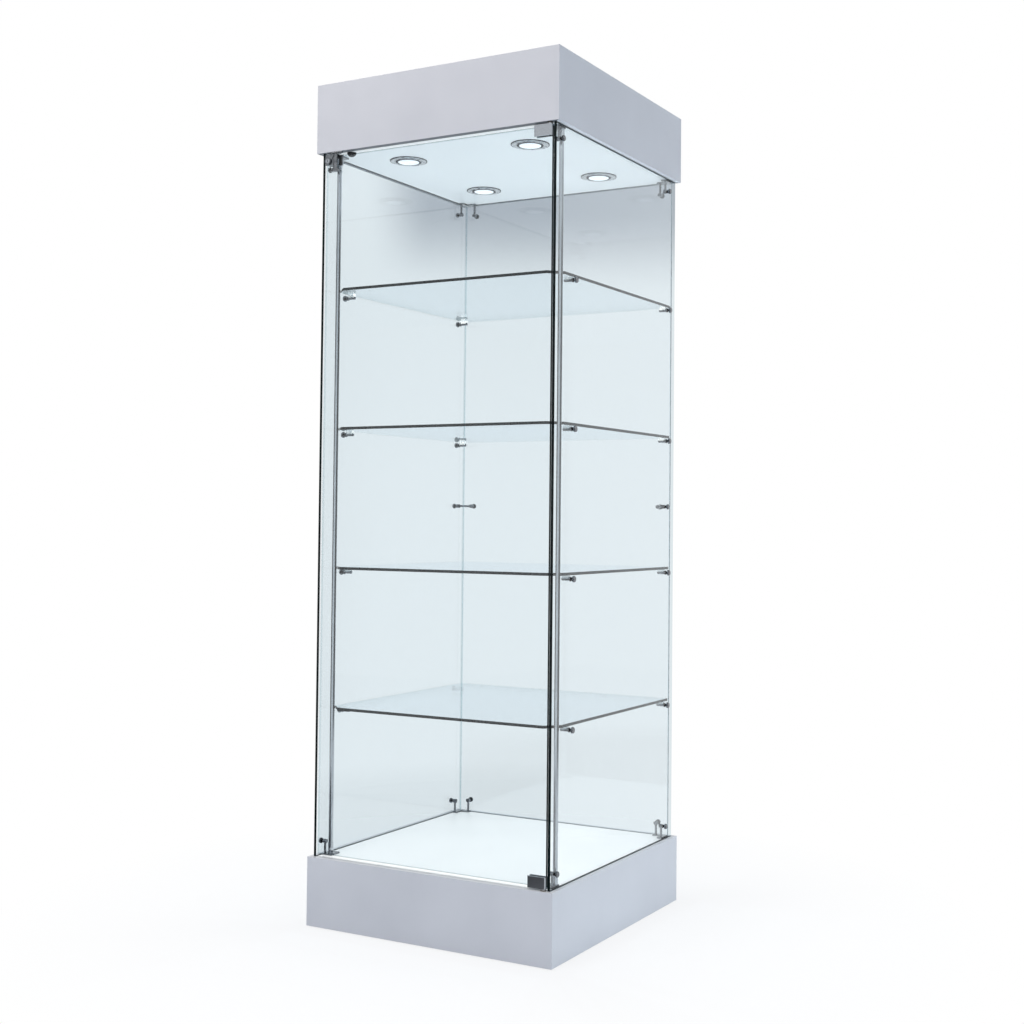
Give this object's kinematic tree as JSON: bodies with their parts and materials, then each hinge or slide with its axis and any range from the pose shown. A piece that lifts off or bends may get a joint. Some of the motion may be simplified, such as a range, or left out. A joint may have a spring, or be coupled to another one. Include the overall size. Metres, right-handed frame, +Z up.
{
  "type": "display case",
  "caption": "Tall free-standing square glass display case with lit canopy, plinth, glass shelves on pegs and a hinged locking glass door.",
  "frame": {"origin": "on the floor, under the centre of the case", "axes": "+X to the right seen from the door side, +Y to the back, +Z up"},
  "size_m": [0.6, 0.6, 1.82],
  "materials": {
    "grey_laminate": "silver-grey melamine on board, fine texture, satin",
    "white_laminate": "white melamine on board, smooth satin",
    "raw_board": "plain chipboard and softwood, hidden",
    "pane_glass": "clear float glass, polished edges",
    "door_pane_glass": "clear toughened glass, polished edges",
    "shelf_glass": "clear toughened glass, polished edges",
    "chrome": "bright chrome plate",
    "steel": "zinc-plated steel",
    "satin_chrome": "satin chrome on zinc",
    "clear_silicone": "clear silicone",
    "black_rubber": "black rubber, matte",
    "black_plastic": "black plastic, matte",
    "bronze": "sintered bronze",
    "lens": "frosted lens, lit",
    "lamp_aluminium": "cast, ribbed",
    "white_plastic": "white plastic case"
  },
  "bodies": {
    "case": {"plinth_front": "grey_laminate", "plinth_back": "grey_laminate", "plinth_left": "grey_laminate", "plinth_right": "grey_laminate", "plinth_floor": "raw_board", "plinth_corner_blocks": "raw_board", "deck_board": "white_laminate", "levelling_feet": "black_plastic", "foot_inserts": "steel", "canopy_front": "grey_laminate", "canopy_back": "grey_laminate", "canopy_left": "grey_laminate", "canopy_right": "grey_laminate", "ceiling_panel": "white_laminate", "canopy_lid": "grey_laminate", "canopy_corner_blocks": "raw_board", "glass_left": "pane_glass", "glass_right": "pane_glass", "glass_back": "pane_glass", "post_left": "chrome", "post_right": "chrome", "post_ferrules": "chrome", "front_bracket_top_left": "chrome", "front_bracket_top_right": "chrome", "front_bracket_bottom_left": "chrome", "front_bracket_bottom_right": "chrome", "rear_bracket_top_left": "chrome", "rear_bracket_top_right": "chrome", "rear_bracket_bottom_left": "chrome", "rear_bracket_bottom_right": "chrome", "mid_connector_left": "chrome", "mid_connector_right": "chrome", "glass_studs": "chrome", "bracket_screws": "steel", "shelf_pegs": "chrome", "shelf_pads": "clear_silicone", "shelf_1": "shelf_glass", "shelf_2": "shelf_glass", "shelf_3": "shelf_glass", "shelf_4": "shelf_glass", "hinge_bushes": "bronze", "lock_strike": "steel", "door_stop": "black_rubber", "downlight_bezels": "satin_chrome", "downlight_lenses": "lens", "downlight_lamps": "lamp_aluminium", "downlight_springs": "steel", "led_driver": "white_plastic", "internal_leads": "black_plastic", "supply_gland": "black_plastic"},
    "door": {"door_glass": "door_pane_glass", "hinge_clamp_top": "satin_chrome", "hinge_clamp_bottom": "satin_chrome", "hinge_pads": "black_rubber", "hinge_pins": "steel", "clamp_screws": "steel", "lock_body": "satin_chrome", "lock_backplate": "steel"},
    "lock_barrel": {"lock_barrel": "satin_chrome"},
    "lock_bolt": {"lock_bolt": "steel"}
  },
  "joints": [
    {"name": "door_hinge", "type": "hinge", "parent": "case", "child": "door", "pos_m": [0.275, -0.29, 0.91], "axis": [0, 0, 1], "range_deg": [0, 140]},
    {"name": "lock_turn", "type": "hinge", "parent": "door", "child": "lock_barrel", "pos_m": [-0.2715, -0.2965, 1.6517], "axis": [0, -1, 0], "range_deg": [0, 90]},
    {"name": "bolt_slide", "type": "slide", "parent": "door", "child": "lock_bolt", "axis": [0, 0, 1], "range_m": [0, 0.0065]}
  ],
  "couplings": [
    {"joint": "lock_turn", "follows": "bolt_slide", "rad_per_m": 241.46}
  ]
}
